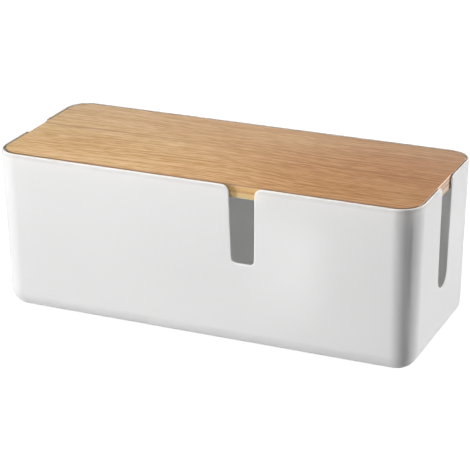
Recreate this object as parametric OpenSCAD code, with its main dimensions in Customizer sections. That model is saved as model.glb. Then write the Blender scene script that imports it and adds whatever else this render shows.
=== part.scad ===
// Cable management box: a moulded tray with three cable slots and a laminated wooden lid that lifts off.
// X runs along the box, the front is at -Y, Z is up, and the origin is on the table under the centre.

/* [Box shell] */
// Length of the box at its rim
box_l = 400; // [300:1:500]
// Depth of the box at its rim, front to back
box_d = 161; // [130:1:200]
// Height of the shell from its underside to its rim
box_h = 151; // [125:1:180]
// Thickness of the walls and the floor
wall = 1.6; // [1.2:0.1:2.4]
// Outer radius of the upright corners at the rim
corner_r = 22.6; // [21:0.2:30]
// Outer radius where the walls turn into the floor
base_r = 16; // [6:0.5:18]
// Lean of every wall, so that the shell leaves its mould
draft = 1.26; // [0.5:0.02:1.5]

/* [Cable slots] */
// Width of the front slot at the rim
front_slot_w = 24.3; // [16:0.1:40]
// Depth of the front slot below the rim
front_slot_h = 71.2; // [40:0.2:90]
// Place of the front slot, to the right of the centre
front_slot_x = 43; // [-100:1:100]
// Radius at the bottom corners of the front slot
front_slot_r = 4.5; // [1:0.5:8]
// Width of the two end slots at the rim
end_slot_w = 28.5; // [16:0.5:36]
// Depth of the two end slots below the rim
end_slot_h = 98; // [40:1:105]
// Lean of the sides of every slot
slot_draft = 1.2; // [0.5:0.1:2]
// Radius where the rim turns down into a slot
slot_lip_r = 6.5; // [2:0.5:8]

/* [Lid] */
// Thickness of the whole board
lid_t = 12; // [9:0.5:18]
// Thickness of the face veneer
face_veneer_t = 0.8; // [0.5:0.1:1.5]
// Thickness of the backing veneer
backing_veneer_t = 0.8; // [0.5:0.1:1.5]
// Gap to the wall at the ends and along the back
lid_gap = 1.2; // [1:0.1:3]
// Gap to the wall along the front
lid_front_gap = 3; // [1:0.1:5]
// How far the board lies below the rim
lid_drop = 0.2; // [0:0.1:2]
// Radius of the upper arris
lid_arris_r = 1; // [0.5:0.1:2]
// Radius of the lower arris
lid_lower_arris_r = 0.5; // [0.2:0.1:0.7]

/* [Lid rests] */
// Diameter of the corner posts
post_d = 9; // [8:0.2:12]
// Distance of a post from the centre of its corner's curve
post_reach = 14.5; // [12:0.1:15]
// Thickness of the web that ties a post to its corner
post_web_t = 2; // [1.5:0.1:3]
// Diameter of a bumper's head
bumper_d = 8.4; // [7:0.1:9]
// Thickness of a bumper's head
bumper_t = 1.5; // [1:0.1:3]
// Diameter of a bumper's stem
stem_d = 4.8; // [4:0.1:6]
// Length of a bumper's stem
stem_l = 6; // [4:0.5:12]
// Clearance between a stem and the bore of its post
stem_clearance = 0.1; // [0.05:0.05:0.3]

/* [Feet] */
// Diameter of a foot
foot_d = 16; // [10:0.5:18]
// Thickness of a foot
foot_t = 1.6; // [1.2:0.1:3]
// How deep a foot is let into the underside
foot_seat = 0.6; // [0.3:0.1:0.8]
// Radial clearance of a foot in its seat
foot_clearance = 0.2; // [0.1:0.1:0.5]
// Distance of a foot, along both edges, from the centre of its corner's curve
foot_inset = 6; // [5:0.5:20]
// Chamfer round the tread of a foot
foot_chamfer = 0.4; // [0.2:0.1:0.6]

/* [Hidden] */
$fn = 96;

// Steps along a rounded edge, and how far a cutter runs past what it cuts
arc_steps = 8;
over = 1;

// The curve of a corner has its centre here, the same for every height
corner_x = box_l / 2 - corner_r;
corner_y = box_d / 2 - corner_r;

// The shell stands on its feet
foot_stand = foot_t - foot_seat;
rim_z = foot_stand + box_h;

// The radius at the base stays within the upright corner that it runs round
base_round = min(base_r, corner_r - box_h * tan(draft) - 2);
rim_wall = wall / cos(draft);

// The board fills the mouth, less its gaps
core_plies = 5;
core_ply_t = (lid_t - face_veneer_t - backing_veneer_t) / core_plies;
lid_r = corner_r - rim_wall - lid_gap;
lid_x = corner_x;
lid_y = corner_y - (lid_front_gap - lid_gap) / 2;
lid_shift_y = (lid_front_gap - lid_gap) / 2;
lid_top = rim_z - lid_drop;
lid_bottom = lid_top - lid_t;

// The board lies on the bumpers, and the bumpers on the posts
post_top = lid_bottom - bumper_t;
bore_d = stem_d + 2 * stem_clearance;
post_offset = post_reach / sqrt(2);
corner_turns = [45, 135, 225, 315];

shell_colour = [0.93, 0.93, 0.92];
face_colour = [0.76, 0.6, 0.43];
long_grain_colour = [0.9, 0.75, 0.56];
cross_grain_colour = [0.79, 0.63, 0.44];
backing_colour = [0.87, 0.79, 0.65];
bumper_colour = [0.8, 0.81, 0.82];
foot_colour = [0.25, 0.25, 0.26];

// Points of an arc about a centre, from one angle to another.
function arc(centre, r, from, to, steps = arc_steps) = [
    for (i = [0:steps])
        centre + r * [cos(from + (to - from) * i / steps), sin(from + (to - from) * i / steps)]
];

// Half section of the tray, as a radius about a corner's centre against height, set in from the
// outside by the given thickness. The walls lean out by the draft, and a round joins them to the floor.
function tray_section(inset, extra_top) =
    let (
        foot_of_wall = corner_r - box_h * tan(draft),
        round_x = foot_of_wall - base_round * (1 - sin(draft)) / cos(draft),
        top = box_h + extra_top,
        reach = corner_r + extra_top * tan(draft) - inset / cos(draft)
    )
    concat(
        [[0, top], [0, inset]],
        arc([round_x, base_round], base_round - inset, -90, -draft),
        [[reach, top]]
    );

// How far the board's edge stands back at a depth below its top.
function arris_inset(q, r) = q < r ? r - sqrt(r * r - (r - q) * (r - q)) : 0;
function board_radius(q) =
    lid_r - arris_inset(q, lid_arris_r) - arris_inset(lid_t - q, lid_lower_arris_r);

// Half section of one layer of the board, between two depths below its top.
function ply_section(q_top, q_bottom) =
    concat(
        [[0, lid_top - q_top], [0, lid_top - q_bottom]],
        [
            for (i = [arc_steps:-1:0])
                let (q = q_top + (q_bottom - q_top) * i / arc_steps)
                [board_radius(q), lid_top - q]
        ]
    );

// Right half of a slot's outline, down from the rim at height 0: lip, side and bottom round.
function slot_side(w, depth, r) =
    let (
        lip_x = w / 2 + slot_lip_r * (1 - sin(slot_draft)) / cos(slot_draft),
        round_x = w / 2 - (r + (depth - r) * sin(slot_draft)) / cos(slot_draft)
    )
    concat(
        [[lip_x, over]],
        arc([lip_x, -slot_lip_r], slot_lip_r, 90, 180 - slot_draft),
        arc([round_x, r - depth], r, -slot_draft, -90)
    );

// The bottom radius at which a slot of this size ends in one full round.
function full_round(w, depth) =
    (w / 2 * cos(slot_draft) - depth * sin(slot_draft)) / (1 - sin(slot_draft));

// Carries a half section round a rectangle: straight along its sides, turned about its corners.
module carried_round(x, y, section) {
    mirrored = [for (i = [len(section) - 1:-1:0]) [-section[i][0], section[i][1]]];
    across = concat(
        [for (p = section) if (p[0] > 0) p + [y, 0]],
        [for (p = mirrored) if (p[0] < 0) p - [y, 0]]
    );
    rotate([90, 0, 90])
        linear_extrude(2 * x, center = true)
            polygon(across);
    for (turn = [0, 180])
        rotate([0, 0, turn])
            translate([x, 0, 0])
                rotate([90, 0, 0])
                    linear_extrude(2 * y, center = true)
                        polygon(section);
    for (sx = [-1, 1], sy = [-1, 1])
        translate([sx * x, sy * y, 0])
            rotate([0, 0, sx > 0 ? (sy > 0 ? 0 : 270) : (sy > 0 ? 90 : 180)])
                rotate_extrude(angle = 90)
                    polygon(section);
}

// Cutter for one slot, through the wall that faces -Y, with the rim at height 0.
module slot_cutter(w, depth, r) {
    side = slot_side(w, depth, r);
    outline = concat(side, [for (i = [len(side) - 1:-1:0]) [-side[i][0], side[i][1]]]);
    through = 2 * over + 2 * rim_wall + depth * tan(draft);
    translate([0, through - over, 0])
        rotate([90, 0, 0])
            linear_extrude(through)
                polygon(outline);
}

module slots() {
    end_r = full_round(end_slot_w, end_slot_h);
    translate([front_slot_x, -box_d / 2, box_h])
        slot_cutter(front_slot_w, front_slot_h, min(front_slot_r, full_round(front_slot_w, front_slot_h)));
    for (turn = [90, 270])
        rotate([0, 0, turn])
            translate([0, -box_l / 2, box_h])
                slot_cutter(end_slot_w, end_slot_h, end_r);
}

// Post and web in each corner, up to the underside of the bumpers.
module lid_posts() {
    height = post_top - foot_stand;
    for (i = [0:3])
        translate([(i % 3 == 0 ? 1 : -1) * corner_x, (i < 2 ? 1 : -1) * corner_y, 0])
            rotate([0, 0, corner_turns[i]]) {
                translate([post_reach, 0, 0])
                    cylinder(h = height, d = post_d);
                translate([post_reach, -post_web_t / 2, 0])
                    cube([corner_r - post_reach, post_web_t, height]);
            }
}

module post_bores() {
    for (sx = [-1, 1], sy = [-1, 1])
        translate([
            sx * (corner_x + post_offset),
            sy * (corner_y + post_offset),
            post_top - foot_stand - stem_l - over
        ])
            cylinder(h = stem_l + 2 * over, d = bore_d);
}

module foot_seats() {
    for (sx = [-1, 1], sy = [-1, 1])
        translate([sx * (corner_x - foot_inset), sy * (corner_y - foot_inset), -over])
            cylinder(h = foot_seat + over, d = foot_d + 2 * foot_clearance);
}

module box_shell() {
    color(shell_colour)
        translate([0, 0, foot_stand])
            difference() {
                carried_round(corner_x, corner_y, tray_section(0, 0));
                difference() {
                    carried_round(corner_x, corner_y, tray_section(wall, over));
                    lid_posts();
                }
                slots();
                post_bores();
                foot_seats();
            }
}

// One layer of the board, between two depths below its top.
module lid_layer(q_top, q_bottom) {
    translate([0, lid_shift_y, 0])
        carried_round(lid_x, lid_y, ply_section(q_top, q_bottom));
}

module lid_face_veneer() {
    color(face_colour)
        lid_layer(0, face_veneer_t);
}

// Core plies are counted from the bottom up, and their grain crosses from one to the next.
module lid_ply(number) {
    q_bottom = lid_t - backing_veneer_t - (number - 1) * core_ply_t;
    color(number % 2 == 1 ? long_grain_colour : cross_grain_colour)
        lid_layer(q_bottom - core_ply_t, q_bottom);
}

module lid_backing_veneer() {
    color(backing_colour)
        lid_layer(lid_t - backing_veneer_t, lid_t);
}

module bumper(sx, sy) {
    color(bumper_colour)
        translate([sx * (corner_x + post_offset), sy * (corner_y + post_offset), post_top]) {
            cylinder(h = bumper_t, d = bumper_d);
            translate([0, 0, -stem_l])
                cylinder(h = stem_l, d = stem_d);
        }
}

module foot(sx, sy) {
    r = foot_d / 2;
    color(foot_colour)
        translate([sx * (corner_x - foot_inset), sy * (corner_y - foot_inset), 0])
            rotate_extrude()
                polygon([
                    [0, 0],
                    [r - foot_chamfer, 0],
                    [r, foot_chamfer],
                    [r, foot_t],
                    [0, foot_t],
                ]);
}

box_shell();
lid_backing_veneer();
lid_ply(1);  // lid_ply_1
lid_ply(2);  // lid_ply_2
lid_ply(3);  // lid_ply_3
lid_ply(4);  // lid_ply_4
lid_ply(5);  // lid_ply_5
lid_face_veneer();
bumper(-1, -1);  // bumper_front_left
bumper(1, -1);  // bumper_front_right
bumper(-1, 1);  // bumper_rear_left
bumper(1, 1);  // bumper_rear_right
foot(-1, -1);  // foot_front_left
foot(1, -1);  // foot_front_right
foot(-1, 1);  // foot_rear_left
foot(1, 1);  // foot_rear_right
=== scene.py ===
from math import cos, radians, sin, sqrt, tan

import bmesh
import bpy
import numpy as np
from mathutils import Matrix, Vector


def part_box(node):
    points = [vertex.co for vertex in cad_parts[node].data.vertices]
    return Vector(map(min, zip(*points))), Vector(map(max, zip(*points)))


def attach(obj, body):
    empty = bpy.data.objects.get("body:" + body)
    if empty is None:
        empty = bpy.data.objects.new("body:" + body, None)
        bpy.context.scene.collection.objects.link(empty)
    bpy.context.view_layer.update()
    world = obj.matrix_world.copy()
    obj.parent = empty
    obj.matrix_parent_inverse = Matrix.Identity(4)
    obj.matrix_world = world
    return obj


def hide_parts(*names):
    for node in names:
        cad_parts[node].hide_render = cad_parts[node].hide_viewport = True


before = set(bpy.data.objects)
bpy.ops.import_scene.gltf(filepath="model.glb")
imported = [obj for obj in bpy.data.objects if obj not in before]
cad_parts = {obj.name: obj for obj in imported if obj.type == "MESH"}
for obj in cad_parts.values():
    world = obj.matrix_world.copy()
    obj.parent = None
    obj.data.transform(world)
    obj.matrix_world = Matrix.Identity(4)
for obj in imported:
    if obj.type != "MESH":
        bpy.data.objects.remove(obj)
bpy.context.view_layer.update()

# ---- Shell -----------------------------------------------------------------------------------
# An open tray, moulded in one shot from satin white plastic. Every wall leans out by the draft so
# that the tray leaves its mould, and the rim and the edges of the slots are rounded over. Hollow
# posts for the lid's bumpers stand in its corners, and its underside has shallow seats for the feet.
mm = 0.001
shell_low, shell_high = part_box("box_shell")
underside = shell_low[2]
rim = shell_high[2]
rim_radius = 22.6 * mm
corner_x = shell_high[0] - rim_radius
corner_y = shell_high[1] - rim_radius
base_radius = 16.0 * mm
wall = 1.6 * mm
draft = radians(1.26)
edge_round = 0.45 * mm
level_wall = wall / cos(draft)

slot_draft = radians(1.2)
slot_lip = 6.5 * mm
front_slot = {"at": 43.0 * mm, "width": 24.3 * mm, "depth": 71.2 * mm, "round": 4.5 * mm}
end_slot = {"at": 0.0, "width": 28.5 * mm, "depth": 98.0 * mm}
# An end slot ends in one full round, which meets both of its leaning sides
end_slot["round"] = (
    end_slot["width"] / 2 * cos(slot_draft) - end_slot["depth"] * sin(slot_draft)
) / (1 - sin(slot_draft))
slots = (front_slot, end_slot, None, end_slot)

seat_inset = 6.0 * mm
seat_x = corner_x - seat_inset
seat_y = corner_y - seat_inset
seat_radius = 8.2 * mm
seat_depth = 0.6 * mm

post_reach = 14.5 * mm
post_place = post_reach / sqrt(2)
post_radius = 4.5 * mm
post_round = 0.4 * mm
post_top = 138.3 * mm
bore_radius = 2.5 * mm
bore_bottom = 131.3 * mm
bore_lead = 0.3 * mm
web = 2.0 * mm
web_near = 17.0 * mm
web_bottom = 60.0 * mm
web_top = post_top - 0.4 * mm
web_slope = 0.8 * mm

foot_of_wall = rim_radius - (rim - underside) * tan(draft)
base_centre = foot_of_wall - base_radius * (1 - sin(draft)) / cos(draft)
base_level = underside + base_radius

# Steps of the grids: round a corner, up a wall, over a slot's lip, round a fan of rays, along a short
# run, and round a turned piece
turn_steps = 24
flank_steps = 6
lip_steps = 8
fan_steps = 16
short_steps = 4
round_steps = 48
# A level run shorter than this is left out, edges that turn more than this stay sharp, and points that
# are closer together than this are merged
shortest_run = 0.1 * mm
sharp_angle = radians(35)
weld = 0.0002 * mm


def beside(side, along, out, height):
    """Points by wall number side (front, right, back, left): the middle of that wall's line between two
    corner centres, moved along the wall, then outwards, then up."""
    line = (corner_y, corner_x)[side % 2]
    right = ((1, 0), (0, 1), (-1, 0), (0, -1))[side]
    ahead = (right[1], -right[0])
    along, out, height = np.broadcast_arrays(along, out, height)
    x = right[0] * along + ahead[0] * (line + out)
    y = right[1] * along + ahead[1] * (line + out)
    return np.stack([x, y, height], -1)


def turned_corner(side, radii, heights):
    """The corner after a wall: each section point goes round the corner's centre in a quarter circle,
    along = span + radius sin(turn), out = radius cos(turn)."""
    span = (corner_x, corner_y)[side % 2]
    turn = np.linspace(0, np.pi / 2, turn_steps + 1)
    r, z = np.asarray(radii)[:, None], np.asarray(heights)[:, None]
    return beside(side, span + r * np.sin(turn), r * np.cos(turn), z)


def straight_run(side, radii, heights):
    """A section moved straight along a wall, with one station at each column of that wall."""
    return beside(side, columns[side], np.asarray(radii)[:, None], np.asarray(heights)[:, None])


def outside(height):
    """Radius of the outer wall about its corner's centre: it grows with the height by tan(draft)."""
    return rim_radius - (rim - height) * tan(draft)


def arc(centre, radius, start, end, steps):
    """Points of a circle between two angles in degrees: centre plus radius times (cos, sin)."""
    a = np.radians(np.linspace(start, end, steps + 1))
    return np.stack([centre[0] + radius * np.cos(a), centre[1] + radius * np.sin(a)], -1)


def seen_from_seat(far, near, distance, steps):
    """Places along a line that lie at equal angles as seen from a point off it: distance tan(angle)."""
    angle = np.linspace(np.arctan2(far, distance), np.arctan2(near, distance), steps + 1)
    return distance * np.tan(angle)


# Columns of the walls, close together over the feet so that the seats' rings meet them
half_x = seat_x - seen_from_seat(seat_x, seat_x - corner_x, corner_y + base_centre - seat_y, fan_steps)
half_y = seat_y - seen_from_seat(seat_y, seat_y - corner_y, corner_x + base_centre - seat_x, fan_steps)
column_x = np.concatenate([-half_x[:0:-1], half_x])
column_y = np.concatenate([-half_y[:0:-1], half_y])
columns = (column_x, column_y, column_x, column_y)

# Section of a rounded edge: how far back from the edge, and how far in from the outer face
round_turn = np.radians(np.linspace(0, 90, 5))
edge_back = edge_round * (1 - np.sin(round_turn))
edge_in = edge_round * (1 - np.cos(round_turn))
edge_back = np.concatenate([edge_back, edge_back[::-1]])
edge_in = np.concatenate([edge_in, level_wall - edge_in[::-1]])


def slot_outline(slot):
    """Half of a slot's edge, from the middle of its bottom to the rim: a level run, the bottom round, the
    leaning side, and the lip that turns over onto the rim. Gives the points (along, height above the
    rim) and, at each, the direction that looks into the opening."""
    half, depth, r = slot["width"] / 2, slot["depth"], slot["round"]
    lip_x = half + slot_lip * (1 - sin(slot_draft)) / cos(slot_draft)
    round_x = half - (r + (depth - r) * sin(slot_draft)) / cos(slot_draft)
    level = short_steps if round_x > shortest_run else 0
    lean = np.degrees(slot_draft)
    bottom = arc((round_x, r - depth), r, -90, -lean, fan_steps - level)
    lip = arc((lip_x, -slot_lip), slot_lip, 180 - lean, 90, lip_steps)
    run = np.stack([np.linspace(0, round_x, level + 1)[:-1], np.full(level, -depth)], -1)
    share = np.linspace(0, 1, flank_steps + 1)[1:-1, None]
    side = bottom[-1] + share * (lip[0] - bottom[-1])
    looks = np.concatenate([
        np.tile([0.0, 1.0], (level, 1)),
        ((round_x, r - depth) - bottom) / r,
        np.tile((lip[0] - (lip_x, -slot_lip)) / slot_lip, (flank_steps - 1, 1)),
        (lip - (lip_x, -slot_lip)) / slot_lip,
    ])
    return np.concatenate([run, bottom, side, lip]), looks


def whole_outline(slot):
    """Both halves of a slot's edge, from the left lip down, across and up to the right lip."""
    points, looks = slot_outline(slot)
    mirror = np.array([-1.0, 1.0])
    points = np.concatenate([points[:0:-1] * mirror, points]) + (slot["at"], 0)
    return points, np.concatenate([looks[:0:-1] * mirror, looks])


# Share of the wall's border in each row of its grid, from the slot's edge outwards
blend = np.array([0, 0.05, 0.3, 1.0])


def slotted_wall(side, slot, foot, inset):
    """A flat wall round a slot: (1 - b) times the slot's edge plus b times the wall's own border, point
    by point, so that its grid bends from one outline to the other. The radius follows the height."""
    points, looks = whole_outline(slot)
    points = points + (0, rim) - looks * edge_round
    span = columns[side][-1]
    rows = np.linspace(rim - edge_round, foot, flank_steps + lip_steps + 1)
    down = np.stack([np.full(len(rows), -span), rows], -1)
    across = np.stack([columns[side], np.full(len(columns[side]), foot)], -1)
    border = np.concatenate([down, across[1:-1], down[::-1] * (-1, 1)])
    b = blend[:, None, None]
    grid = (1 - b) * points + b * border
    return beside(side, grid[..., 0], outside(grid[..., 1]) - inset, grid[..., 1])


def rim_edge(side, slot):
    """The rounded edge carried along the top of a wall, down one side of its slot and up the other."""
    span = columns[side][-1]
    if slot is None:
        path = np.stack([columns[side], np.zeros(len(columns[side]))], -1)
        looks = np.tile([0.0, 1.0], (len(path), 1))
    else:
        path, looks = whole_outline(slot)
        left = np.stack([(1 - blend) * path[0, 0] - blend * span, 0 * blend], -1)[:0:-1]
        right = np.stack([(1 - blend) * path[-1, 0] + blend * span, 0 * blend], -1)[1:]
        up = np.tile([0.0, 1.0], (len(left), 1))
        path, looks = np.concatenate([left, path, right]), np.concatenate([up, looks, up])
    at = path[None] - looks[None] * edge_back[:, None, None]
    height = rim + at[..., 1]
    return beside(side, at[..., 0], outside(height) - edge_in[:, None], height)


# Share of the border in each ring round a foot's seat, and how far up the seat each ring lies
ring_blend = np.array([1, 0.25, 0.03, 0, 0])
ring_rise = np.array([0, 0, 0, 0, 1, 1])


def seat_patch(turn_x, turn_y):
    """A quarter of the flat underside round one foot's seat: rings that go from the seat's circle to the
    quarter's border along the rays from the seat's centre, then the seat's wall and its flat top."""
    reach_x, reach_y = corner_x + base_centre, corner_y + base_centre
    middle_y = seat_x - seen_from_seat(seat_x - reach_x, seat_x, seat_y, fan_steps)[::-1]
    middle_x = seat_y - seen_from_seat(seat_y - reach_y, seat_y, seat_x, short_steps)[::-1]
    line_y = np.stack([middle_y, 0 * middle_y], -1)
    end = np.stack([np.full(len(half_y), reach_x), half_y], -1)
    corner = arc((corner_x, corner_y), base_centre, 0, 90, turn_steps)
    long_side = np.stack([half_x, np.full(len(half_x), reach_y)], -1)[::-1]
    line_x = np.stack([0 * middle_x, middle_x], -1)[::-1]
    border = np.concatenate([line_y, end[1:], corner[1:], long_side[1:], line_x[1:-1]])
    centre = np.array([seat_x, seat_y])
    ray = border - centre
    ring = seat_radius * ray / np.linalg.norm(ray, axis=1, keepdims=True)
    b = ring_blend[:, None, None]
    flat = np.concatenate([(1 - b) * ring + b * ray, 0 * ring[None]]) + centre
    level = underside + seat_depth * ring_rise
    height = np.broadcast_to(level[:, None], flat.shape[:2])
    return np.stack([turn_x * flat[..., 0], turn_y * flat[..., 1], height], -1)


def floor_block():
    """The middle of the inner floor, a flat grid on the walls' own columns."""
    x, y = np.meshgrid(column_x, column_y)
    return np.stack([x, y, np.full(x.shape, underside + wall)], -1)


def turned(centre, profile):
    """A profile of (radius, height) turned about an upright line: x = radius cos(turn), y = radius
    sin(turn)."""
    turn = np.linspace(0, 2 * np.pi, round_steps, endpoint=False)
    r, z = np.array(profile).T[..., None]
    x, y = centre[0] + r * np.cos(turn), centre[1] + r * np.sin(turn)
    return np.stack([x, y, np.broadcast_to(z, x.shape)], -1)


def corner_axis(turn_x, turn_y):
    """The upright line of the post in one corner, on the diagonal outside the corner's centre."""
    return turn_x * (corner_x + post_place), turn_y * (corner_y + post_place)


def inside_base(x, y):
    """Height of the middle of the base's thickness, outside the corner's centre: a quarter arc."""
    d = np.hypot(np.abs(x) - corner_x, np.abs(y) - corner_y) - base_centre
    r = base_radius - wall / 2
    return base_level - np.sqrt(r * r - np.clip(d, 0, r) ** 2)


def lid_post(turn_x, turn_y):
    """A corner post: turned, with a bore down its middle, and its foot follows the rounded base. The web
    behind it is a flat plate whose outer edge follows the leaning wall."""
    foot = turned(corner_axis(turn_x, turn_y), [(share * post_radius, 0) for share in (0, 0.35, 0.7, 1)])
    foot[..., 2] = inside_base(foot[..., 0], foot[..., 1])
    soft, edge = post_round * (1 - np.cos(round_turn)), post_round * (1 - np.sin(round_turn))
    profile = [
        *zip(post_radius - soft, post_top - edge),
        (bore_radius + edge[0], post_top),
        (bore_radius + edge[1], post_top),
        (bore_radius, post_top - bore_lead),
        (bore_radius, bore_bottom),
        (0, bore_bottom),
    ]
    post = np.concatenate([foot, turned(corner_axis(turn_x, turn_y), profile)])
    rows = np.array([web_bottom, web_top - web_slope, web_top])
    near = (web_near + np.array([0, 0, post_round]))[:, None]
    far = (outside(rows) - level_wall / 2)[:, None]
    diagonal = np.array([turn_x, turn_y]) / sqrt(2)
    across = np.array([-diagonal[1], diagonal[0]]) * web / 2
    inner, outer = near * diagonal, far * diagonal
    corners = [inner - across, outer - across, outer + across, inner + across]
    plate = np.stack(corners, 1) + np.array([turn_x * corner_x, turn_y * corner_y])
    plate = np.concatenate([plate, np.broadcast_to(rows[:, None, None], plate.shape[:2] + (1,))], -1)
    ends = [plate[k][[0, 1, 3, 2]].reshape(2, 2, 3) for k in (0, -1)]
    return [(post, True), (plate, True), (ends[0], False), (ends[1], False)]


def make_piece(name, skins):
    """One mesh from several grids: quads between neighbouring points, a closed grid joined to itself, equal
    points merged, faces turned outwards, and edges kept sharp above an angle."""
    points, quads, start = [], [], 0
    for grid, closed in skins:
        index = start + np.arange(grid.shape[0] * grid.shape[1]).reshape(grid.shape[:2])
        if closed:
            index = np.hstack([index, index[:, :1]])
        corners = (index[:-1, :-1], index[:-1, 1:], index[1:, 1:], index[1:, :-1])
        quads.append(np.stack(corners, -1).reshape(-1, 4))
        points.append(grid.reshape(-1, 3))
        start += grid.shape[0] * grid.shape[1]
    mesh = bpy.data.meshes.new(name)
    mesh.from_pydata(np.concatenate(points).tolist(), [], np.concatenate(quads).tolist())
    work = bmesh.new()
    work.from_mesh(mesh)
    bmesh.ops.remove_doubles(work, verts=work.verts, dist=weld)
    bmesh.ops.recalc_face_normals(work, faces=work.faces)
    work.to_mesh(mesh)
    work.free()
    mesh.shade_smooth()
    mesh.set_sharp_from_angle(angle=sharp_angle)
    piece = bpy.data.objects.new(name, mesh)
    bpy.context.scene.collection.objects.link(piece)
    even = piece.modifiers.new("even_shading", "WEIGHTED_NORMAL")
    even.keep_sharp = True
    return piece


skins = []
for inset, radius in ((0, base_radius), (level_wall, base_radius - wall)):
    base = arc((base_centre, base_level), radius, -np.degrees(draft), -90, turn_steps)
    rows = np.linspace(rim - edge_round, base[0, 1], flank_steps + lip_steps + 1)
    for side, slot in enumerate(slots):
        skins.append((straight_run(side, base[:, 0], base[:, 1]), False))
        skins.append((turned_corner(side, base[:, 0], base[:, 1]), False))
        skins.append((turned_corner(side, outside(rows) - inset, rows), False))
        if slot is None:
            skins.append((straight_run(side, outside(rows) - inset, rows), False))
        else:
            skins.append((slotted_wall(side, slot, base[0, 1], inset), False))
for side, slot in enumerate(slots):
    skins.append((rim_edge(side, slot), False))
    skins.append((turned_corner(side, outside(rim - edge_back) - edge_in, rim - edge_back), False))
    flat = np.array([base_centre, 0]), np.full(2, underside + wall)
    skins.append((straight_run(side, *flat), False))
    skins.append((turned_corner(side, *flat), False))
skins.append((floor_block(), False))
for turn_x in (-1, 1):
    for turn_y in (-1, 1):
        skins.append((seat_patch(turn_x, turn_y), True))
        skins += lid_post(turn_x, turn_y)
shell = make_piece("moulded_shell", skins)


def new_finish(name):
    """A node material with its shader, and the object's own coordinates in metres."""
    finish = bpy.data.materials.new(name)
    finish.use_nodes = True
    tree = finish.node_tree
    place = tree.nodes.new("ShaderNodeTexCoord").outputs["Object"]
    return finish, tree, tree.nodes["Principled BSDF"], place


def add(tree, kind, inputs, output=0, **settings):
    """One node: each input is a value or another node's output."""
    made = tree.nodes.new("ShaderNode" + kind)
    for key, value in settings.items():
        setattr(made, key, value)
    for key, value in inputs.items():
        if isinstance(value, bpy.types.NodeSocket):
            tree.links.new(value, made.inputs[key])
        else:
            made.inputs[key].default_value = value
    return made.outputs[output]


def stretched_noise(tree, place, scale, detail):
    """Noise whose spots are 1/scale metres long on each axis."""
    at = add(tree, "Mapping", {"Vector": place, "Scale": scale})
    return add(tree, "TexNoise", {"Vector": at, "Scale": 1.0, "Detail": detail, "Roughness": 0.5})


def even_noise(tree, place, scale, detail):
    """Noise whose spots are 1/scale metres long on all axes."""
    return stretched_noise(tree, place, (scale, scale, scale), detail)


def ramp(tree, value, start, end, low=0.0, high=1.0):
    """Goes evenly from low to high as the value goes from start to end, and stays level beyond them."""
    limits = {"From Min": start, "From Max": end, "To Min": low, "To Max": high}
    return add(tree, "MapRange", {"Value": value, **limits})


def reckoned(tree, operation, *values):
    """One step of arithmetic on values or other nodes' outputs."""
    return add(tree, "Math", dict(enumerate(values)), operation=operation)


def parted(tree, place):
    """The three coordinates of a place."""
    made = tree.nodes.new("ShaderNodeSeparateXYZ")
    tree.links.new(place, made.inputs["Vector"])
    return made.outputs


def blended(tree, factor, first, second):
    """Two colours or two colour outputs mixed by a factor."""
    inputs = {"Factor": factor}
    for key, value in (("A", first), ("B", second)):
        inputs[key] = (*value, 1) if isinstance(value, tuple) else value
    return add(tree, "Mix", inputs, output=2, data_type="RGBA")


def between(tree, factor, low, high, dark, light):
    """A colour between two, as the factor goes from low to high."""
    return blended(tree, ramp(tree, factor, low, high), dark, light)


def finished(tree, shader, colour, sheen, height, strength, deep):
    """Links a colour, a roughness and a bump of some strength and depth to the shader."""
    bump = add(tree, "Bump", {"Height": height, "Strength": strength, "Distance": deep})
    tree.links.new(colour, shader.inputs["Base Color"])
    tree.links.new(sheen, shader.inputs["Roughness"])
    tree.links.new(bump, shader.inputs["Normal"])


# Heights and radii of two painted shades: the plastic is painted darker towards the rim, and a grey-brown
# painted gap shadow lies along the inside of the rim
rim_shade = 5.0 * mm
gap_shadow_top = 2.3 * mm
gap_shadow_bottom = 2.9 * mm
gap_shadow_outer = rim_radius - 1.25 * mm
gap_shadow_inner = rim_radius - 1.45 * mm


def satin_white():
    """Moulded white plastic: an almost even white, a satin sheen and a very fine grain from the mould. Along
    the inside of the rim it carries a grey-brown painted shadow of the gap round the lid, and towards the
    rim it is painted darker and a little warmer."""
    finish, tree, shader, place = new_finish("satin_white_plastic")
    cloud = even_noise(tree, place, 9, 2)
    colour = between(tree, cloud, 0.3, 0.7, (0.845, 0.847, 0.845), (0.862, 0.863, 0.862))
    x, y, z = parted(tree, place)
    painted_rim_shade = (0.67, 0.66, 0.645)
    painted_gap_shadow = (0.40, 0.36, 0.31)
    # Painted shade and painted reflection: over the top 5 mm the white is painted darker and a little
    # warmer, like the wood reflected in the rim
    colour = blended(tree, ramp(tree, z, rim - rim_shade, rim), colour, painted_rim_shade)
    beyond = []
    for at, centre in ((x, corner_x), (y, corner_y)):
        past = reckoned(tree, "SUBTRACT", reckoned(tree, "ABSOLUTE", at), centre)
        beyond.append(reckoned(tree, "MAXIMUM", past, 0.0))
    out = add(tree, "CombineXYZ", {"X": beyond[0], "Y": beyond[1]})
    out = add(tree, "VectorMath", {0: out}, "Value", operation="LENGTH")
    inner = ramp(tree, out, gap_shadow_outer, gap_shadow_inner)
    upper = ramp(tree, z, rim - gap_shadow_bottom, rim - gap_shadow_top)
    # Painted shadow: a grey-brown band along the inside of the rim, where the gap round the lid lies in
    # shade
    colour = blended(tree, reckoned(tree, "MULTIPLY", inner, upper), colour, painted_gap_shadow)
    fine = even_noise(tree, place, 1800, 2)
    finished(tree, shader, colour, ramp(tree, fine, 0, 1, 0.36, 0.46), fine, 0.08, 0.2 * mm)
    shader.inputs["IOR"].default_value = 1.46
    # Thin white plastic lets some light through and softens the shade round its corners
    shader.inputs["Subsurface Weight"].default_value = 1.0
    shader.inputs["Subsurface Scale"].default_value = 4 * mm
    shader.inputs["Subsurface Radius"].default_value = (1, 1, 1)
    return finish


shell.data.materials.append(satin_white())
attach(shell, "box")
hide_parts("box_shell")

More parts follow.
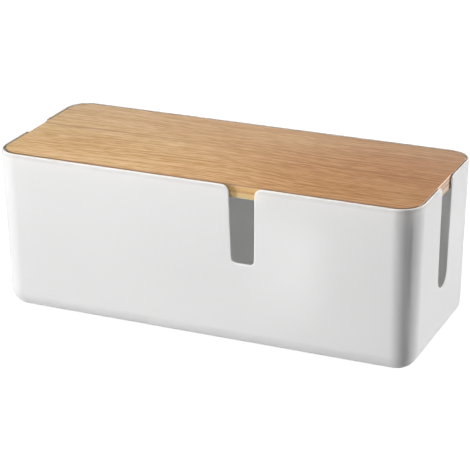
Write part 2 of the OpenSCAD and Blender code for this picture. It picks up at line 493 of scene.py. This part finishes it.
# ---- Bumpers ---------------------------------------------------------------------------------
# Four soft pale grey silicone buttons. Each has a stem that is pushed into the bore of its post, and
# a low head with a rounded edge that the lid lies on.
bumper_low, bumper_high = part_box("bumper_front_left")
head_radius = 4.2 * mm
head_top = bumper_high[2]
head_round = 0.6 * mm
head_foot = 0.2 * mm
stem_radius = 2.4 * mm
stem_bottom = bumper_low[2]
stem_chamfer = 0.5 * mm


def soft_silicone():
    """Silicone rubber: pale grey, slightly clouded, with a dull skin that is slightly uneven."""
    finish, tree, shader, place = new_finish("pale_silicone")
    cloud = even_noise(tree, place, 300, 3)
    colour = between(tree, cloud, 0.3, 0.7, (0.50, 0.52, 0.54), (0.60, 0.62, 0.63))
    fine = even_noise(tree, place, 2500, 2)
    finished(tree, shader, colour, ramp(tree, fine, 0, 1, 0.45, 0.6), fine, 0.1, 0.1 * mm)
    shader.inputs["IOR"].default_value = 1.41
    return finish


silicone = soft_silicone()
corner_names = {(-1, -1): "front_left", (1, -1): "front_right", (-1, 1): "rear_left", (1, 1): "rear_right"}
shoulder = head_radius - head_round * (1 - np.cos(round_turn[:0:-1]))
crown = head_top - head_round * (1 - np.sin(round_turn[:0:-1]))
button_profile = [
    (0, head_top),
    (stem_radius / 2, head_top),
    (stem_radius, head_top),
    *zip(shoulder, crown),
    (head_radius, post_top + head_foot),
    (head_radius - head_foot, post_top),
    (stem_radius, post_top),
    (stem_radius, stem_bottom + stem_chamfer),
    (stem_radius - stem_chamfer, stem_bottom),
    (0, stem_bottom),
]
for (turn_x, turn_y), corner in corner_names.items():
    skin = turned(corner_axis(turn_x, turn_y), button_profile)
    button = make_piece("silicone_bumper_" + corner, [(skin, True)])
    button.data.materials.append(silicone)
    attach(button, "box")
    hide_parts("bumper_" + corner)

# ---- Feet ------------------------------------------------------------------------------------
# Four dark rubber discs, stamped from sheet with a softened edge, and stuck into the round seats
# that are moulded into the underside.
foot_radius = 8.0 * mm
foot_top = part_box("foot_front_left")[1][2]
tread_round = 0.4 * mm
tread_ring = 3.0 * mm


def dark_rubber():
    """Rubber: nearly black and dull, with the fine texture of the sheet."""
    finish, tree, shader, place = new_finish("dark_rubber")
    fine = even_noise(tree, place, 1500, 4)
    colour = between(tree, fine, 0.3, 0.7, (0.020, 0.020, 0.021), (0.036, 0.036, 0.037))
    finished(tree, shader, colour, ramp(tree, fine, 0, 1, 0.65, 0.85), fine, 0.25, 0.2 * mm)
    return finish


rubber = dark_rubber()
tread = zip(foot_radius - tread_round * (1 - np.sin(round_turn)), tread_round * (1 - np.cos(round_turn)))
disc_profile = [(0, 0), (tread_ring, 0), *tread, (foot_radius, foot_top), (0, foot_top)]
for (turn_x, turn_y), corner in corner_names.items():
    skin = turned((turn_x * seat_x, turn_y * seat_y), disc_profile)
    disc = make_piece("rubber_foot_" + corner, [(skin, True)])
    disc.data.materials.append(rubber)
    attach(disc, "box")
    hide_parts("foot_" + corner)

# ---- Lid -------------------------------------------------------------------------------------
# A flush board, glued up from a backing veneer, five plies whose grain crosses from one to the next,
# and a face veneer, then trimmed to shape and rounded along its upper and lower arris. It lies loose
# on the bumpers, with a wider gap at the front than elsewhere.
lid_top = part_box("lid_face_veneer")[1][2]
lid_thick = lid_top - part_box("lid_backing_veneer")[0][2]
lid_gap = 1.2 * mm
lid_front_gap = 3.0 * mm
lid_radius = rim_radius - level_wall - lid_gap
lid_shift = (lid_front_gap - lid_gap) / 2
lid_corner_y = corner_y - lid_shift
upper_arris = 1.0 * mm
lower_arris = 0.5 * mm
veneer = 0.8 * mm
ply_count = 5
ply = (lid_thick - 2 * veneer) / ply_count
edge_steps = 12


def arris_inset(depth, radius):
    """How far a rounded arris stands back at a depth below its face: r - sqrt(r^2 - (r - depth)^2)."""
    short = np.clip(radius - depth, 0, radius)
    return radius - np.sqrt(radius * radius - short * short)


def board_layer(depth_top, depth_bottom):
    """One layer of the board: its edge profile carried round the lid's outline, and flat above and below.
    The profile's depths lie closer at both faces: top + (bottom - top) s^2 (3 - 2 s)."""
    share = np.linspace(0, 1, edge_steps + 1)
    depth = depth_top + (depth_bottom - depth_top) * share * share * (3 - 2 * share)
    edge = lid_radius - arris_inset(depth, upper_arris) - arris_inset(lid_thick - depth, lower_arris)
    radii = np.concatenate([[0], edge, [0]])[:, None]
    heights = lid_top - np.concatenate([[depth_top], depth, [depth_bottom]])[:, None]
    turn = np.linspace(0, np.pi / 2, turn_steps + 1)
    rings = []
    for turn_x, turn_y, start in ((1, 1, 0), (-1, 1, 1), (-1, -1, 2), (1, -1, 3)):
        a = turn + start * np.pi / 2
        x = turn_x * corner_x + radii * np.cos(a)
        y = turn_y * lid_corner_y + lid_shift + radii * np.sin(a)
        rings.append(np.stack(np.broadcast_arrays(x, y, heights), -1))
    x, y = np.meshgrid([-corner_x, corner_x], [lid_shift - lid_corner_y, lid_shift + lid_corner_y])
    flats = [np.stack([x, y, np.full(x.shape, lid_top - d)], -1) for d in (depth_top, depth_bottom)]
    return [(np.concatenate(rings, 1), True), (flats[0], False), (flats[1], False)]


def grain(tree, at, layers):
    """Sum of stretched noises about a half: each layer adds weight (noise - 1/2), with spots 1/long metres
    along the grain, which runs along the first axis, and 1/wide metres across it."""
    tone = 0.5
    for long, wide, weight in layers:
        spots = stretched_noise(tree, at, (long, wide, wide), 1)
        spots = reckoned(tree, "SUBTRACT", spots, 0.5)
        tone = reckoned(tree, "MULTIPLY_ADD", spots, weight, tone)
    return tone


def varnished(tree, shader, colour, at, pore):
    """A satin varnish, finely streaked along the grain, that sinks a little into the pores."""
    fine = stretched_noise(tree, at, (22, 1500, 1500), 3)
    height = reckoned(tree, "MULTIPLY_ADD", pore, -0.6, fine)
    finished(tree, shader, colour, ramp(tree, fine, 0, 1, 0.50, 0.62), height, 0.12, 0.2 * mm)
    shader.inputs["IOR"].default_value = 1.42


# Depths below the face over which its cut edge darkens
cut_start = 0.01 * mm
cut_full = 0.07 * mm
# Depths, and distances out along the board, over which a painted highlight turns the face's ends pale
highlight_start_depth = 0.08 * mm
highlight_full_depth = 0.16 * mm
end_start = corner_x + 17.5 * mm
end_full = corner_x + 18.5 * mm
# Distances out along the board over which a painted highlight turns the plies' ends pale
ply_end_start = corner_x + 10.0 * mm
ply_end_full = corner_x + 16.0 * mm


def face_wood():
    """Sliced wood: grain that wanders as it runs along the board, in streaks of four widths, a few long dark
    growth lines and short pores. Its colour drifts from straw at the left end to tan at the right one, is
    paler and pinker towards the back, and is dark on the cut edge. Just below the face at both ends it is
    painted pale, a painted highlight where the arris catches the lamp."""
    finish, tree, shader, place = new_finish("face_veneer_wood")
    drift = stretched_noise(tree, place, (7, 18, 18), 2)
    slow = stretched_noise(tree, place, (5, 8, 8), 1)
    x, y, z = parted(tree, place)
    wander = reckoned(tree, "MULTIPLY_ADD", slow, 0.03, y)
    at = add(tree, "CombineXYZ", {"X": x, "Y": wander, "Z": z})
    tone = grain(tree, at, ((5, 38, 0.6), (5, 330, 1.3), (6, 900, 5.4), (60, 1200, 6.5)))
    straw = between(tree, tone, 0, 1, (0.432, 0.268, 0.076), (0.660, 0.456, 0.260))
    tan_wood = between(tree, tone, 0, 1, (0.262, 0.086, 0.002), (0.418, 0.192, 0.058))
    rear_pale = (0.62, 0.42, 0.31)
    growth_brown = (0.26, 0.115, 0.04)
    pore_brown = (0.20, 0.10, 0.04)
    cut_brown = (0.26, 0.15, 0.08)
    painted_end_highlight = (0.98, 0.70, 0.52)
    share = ramp(tree, reckoned(tree, "MULTIPLY_ADD", x, 2.4, drift), -0.08, 0.96)
    colour = blended(tree, share, straw, tan_wood)
    # Paler and pinker towards the back
    rear = ramp(tree, y, -40 * mm, 80 * mm, 0, ramp(tree, share, 0, 1, 0.36, 0.20))
    colour = blended(tree, rear, colour, rear_pale)
    growth = ramp(tree, stretched_noise(tree, at, (3.5, 210, 210), 2), 0.60, 0.72, 0, 0.7)
    colour = blended(tree, growth, colour, growth_brown)
    pore = ramp(tree, stretched_noise(tree, at, (90, 2600, 2600), 2), 0.60, 0.74, 0, 0.6)
    colour = blended(tree, pore, colour, pore_brown)
    cut = ramp(tree, z, lid_top - cut_start, lid_top - cut_full)
    colour = blended(tree, cut, colour, cut_brown)
    # Painted highlight: just below the face at both ends, where the arris catches the lamp, the wood is
    # painted pale
    end = ramp(tree, reckoned(tree, "ABSOLUTE", x), end_start, end_full)
    low = ramp(tree, z, lid_top - highlight_start_depth, lid_top - highlight_full_depth)
    colour = blended(tree, reckoned(tree, "MULTIPLY", end, low), colour, painted_end_highlight)
    varnished(tree, shader, colour, at, pore)
    return finish


def sawn_wood(name, along, pale, dark):
    """The edge of a ply: streaks along its own grain, which show end on as dots where it is cut across.
    Towards the ends of the board it is painted paler, a painted highlight where the ends face the lamps,
    with fine lines that follow the layers."""
    finish, tree, shader, place = new_finish(name)
    x, y, z = parted(tree, place)
    across = add(tree, "CombineXYZ", {"X": y, "Y": x, "Z": z})
    at = place if along == "x" else across
    tone = grain(tree, at, ((5, 90, 0.5), (9, 400, 0.8), (22, 1500, 0.6)))
    colour = between(tree, tone, 0.15, 0.85, dark, pale)
    # Painted highlight: the plies' ends are painted paler; the fine lines on them follow the real layers
    end = ramp(tree, reckoned(tree, "ABSOLUTE", x), ply_end_start, ply_end_full, 0, 0.7)
    lines = stretched_noise(tree, across, (6, 40, 650), 2)
    painted_end_highlight = between(tree, lines, 0.42, 0.58, (0.42, 0.31, 0.24), (0.80, 0.63, 0.53))
    colour = blended(tree, end, colour, painted_end_highlight)
    pore = ramp(tree, stretched_noise(tree, at, (90, 2600, 2600), 2), 0.62, 0.75, 0, 0.25)
    colour = blended(tree, pore, colour, tuple(0.5 * c for c in dark))
    varnished(tree, shader, colour, at, pore)
    return finish


backing = sawn_wood("backing_veneer_wood", "x", (0.62, 0.54, 0.33), (0.48, 0.40, 0.22))
# The plies from the lowest up, each with its pale and its dark tone
ply_tones = (
    ((0.62, 0.46, 0.22), (0.48, 0.34, 0.15)),
    ((0.70, 0.49, 0.24), (0.59, 0.39, 0.17)),
    ((0.54, 0.33, 0.13), (0.41, 0.23, 0.08)),
    ((0.66, 0.42, 0.18), (0.52, 0.31, 0.11)),
    ((0.70, 0.45, 0.22), (0.56, 0.33, 0.13)),
)

# Each layer's name, thickness, finish and slot, from the lowest up
layers = [("backing_veneer", veneer, backing, "backing_veneer")]
for number, (pale, dark) in enumerate(ply_tones, 1):
    crossed = number % 2 == 0
    finish = sawn_wood(f"ply_{number}_wood", "y" if crossed else "x", pale, dark)
    layers.append((f"ply_{number}", ply, finish, "cross_grain_ply" if crossed else "long_grain_ply"))
layers.append(("face_veneer", veneer, face_wood(), "face_veneer"))
bottom = lid_thick
for name, thick, finish, slot_name in layers:
    layer = make_piece("board_" + name, board_layer(bottom - thick, bottom))
    layer.data.materials.append(finish)
    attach(layer, "lid")
    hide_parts("lid_" + name)
    bottom -= thick

# ---- Studio ----------------------------------------------------------------------------------
# A sheet of white paper under white air. Both look white to the eye and to gloss but throw little
# light on the box. Five soft lamps light it: low ones on the left, behind on the right and straight
# behind, a weak one in front and a small one overhead.
floor_reach = 6.0
paper_grey = 0.36
paper_glow = 0.93
air_light = 0.06
lamp_target = Vector((0, 0, 80 * mm))


def looked_at(tree):
    """1 for a ray that comes from the camera, or by way of a glossy or a clear surface, and 0 for others."""
    most = add(tree, "LightPath", {}, "Is Camera Ray")
    for kind in ("Glossy", "Transmission"):
        most = reckoned(tree, "MAXIMUM", most, add(tree, "LightPath", {}, f"Is {kind} Ray"))
    return most


floor_mesh = bpy.data.meshes.new("studio_floor")
floor_corners = [(x * floor_reach, y * floor_reach, 0) for x, y in ((-1, -1), (1, -1), (1, 1), (-1, 1))]
floor_mesh.from_pydata(floor_corners, [], [(0, 1, 2, 3)])
floor = bpy.data.objects.new("studio_floor", floor_mesh)
bpy.context.scene.collection.objects.link(floor)
paper = bpy.data.materials.new("studio_paper")
paper.use_nodes = True
tree = paper.node_tree
tree.nodes.clear()
matt = add(tree, "BsdfDiffuse", {"Color": (paper_grey, paper_grey, paper_grey, 1)})
glow = add(tree, "Emission", {"Color": (1, 1, 1, 1), "Strength": paper_glow})
bright = add(tree, "AddShader", {0: matt, 1: glow})
mix = add(tree, "MixShader", {0: looked_at(tree), 1: matt, 2: bright})
out = tree.nodes.new("ShaderNodeOutputMaterial")
tree.links.new(mix, out.inputs["Surface"])
floor_mesh.materials.append(paper)

world = bpy.data.worlds.new("studio_air")
bpy.context.scene.world = world
world.use_nodes = True
tree = world.node_tree
tree.nodes.clear()
strength = ramp(tree, looked_at(tree), 0, 1, air_light, 1)
air = add(tree, "Background", {"Color": (1, 1, 1, 1), "Strength": strength})
out = tree.nodes.new("ShaderNodeOutputWorld")
tree.links.new(air, out.inputs["Surface"])


def direction(azimuth, elevation):
    """Unit vector to a place: the azimuth goes from the front round to the right, the elevation up from the
    level, both in degrees."""
    a, e = radians(azimuth), radians(elevation)
    return Vector((sin(a) * cos(e), -cos(a) * cos(e), sin(e)))


def lamp(name, azimuth, elevation, distance, width, height, level):
    """A soft lamp that faces the box, by its direction in degrees, and its distance, width and height in
    metres. The level is what a white sheet facing it would show, so the power is level times (pi distance)
    squared."""
    data = bpy.data.lights.new(name, "AREA")
    data.shape = "RECTANGLE"
    data.size = width
    data.size_y = height
    data.energy = level * (np.pi * distance) ** 2
    made = bpy.data.objects.new(name, data)
    back = direction(azimuth, elevation)
    made.location = lamp_target + back * distance
    made.rotation_mode = "QUATERNION"
    made.rotation_quaternion = back.to_track_quat("Z", "Y")
    made.visible_camera = False
    bpy.context.scene.collection.objects.link(made)


lamp("left_softbox", -54, 5, 3.0, 0.6, 0.6, 0.77)
lamp("front_fill", -5, 5, 1.0, 0.5, 0.4, 0.164)
lamp("top_softbox", -18, 68, 0.65, 0.33, 0.33, 0.885)
lamp("right_softbox", 123, 5, 4.0, 1.0, 1.4, 1.035)
lamp("back_softbox", 180, 5, 3.0, 1.0, 1.0, 0.345)

# The camera stands to the front right with a long lens, and leans a little to one side. Its focal
# length is given in widths of the picture.
camera_azimuth = 23.846
camera_elevation = 21.794
camera_roll = radians(-0.491)
camera_distance = 1.717246
camera_target = Vector((1.384 * mm, 0, 72.469 * mm))
focal_widths = 1894.791 / 470
camera_data = bpy.data.cameras.new("camera")
camera_data.sensor_width = 36
camera_data.lens = focal_widths * camera_data.sensor_width
camera = bpy.data.objects.new("camera", camera_data)
back = direction(camera_azimuth, camera_elevation)
level_right = direction(camera_azimuth + 90, 0)
level_up = back.cross(level_right)
right = cos(camera_roll) * level_right + sin(camera_roll) * level_up
up = cos(camera_roll) * level_up - sin(camera_roll) * level_right
turn = Matrix((right, up, back)).transposed().to_4x4()
camera.matrix_world = Matrix.Translation(camera_target + back * camera_distance) @ turn
bpy.context.scene.collection.objects.link(camera)
bpy.context.scene.camera = camera
bpy.context.scene.view_settings.view_transform = "Standard"
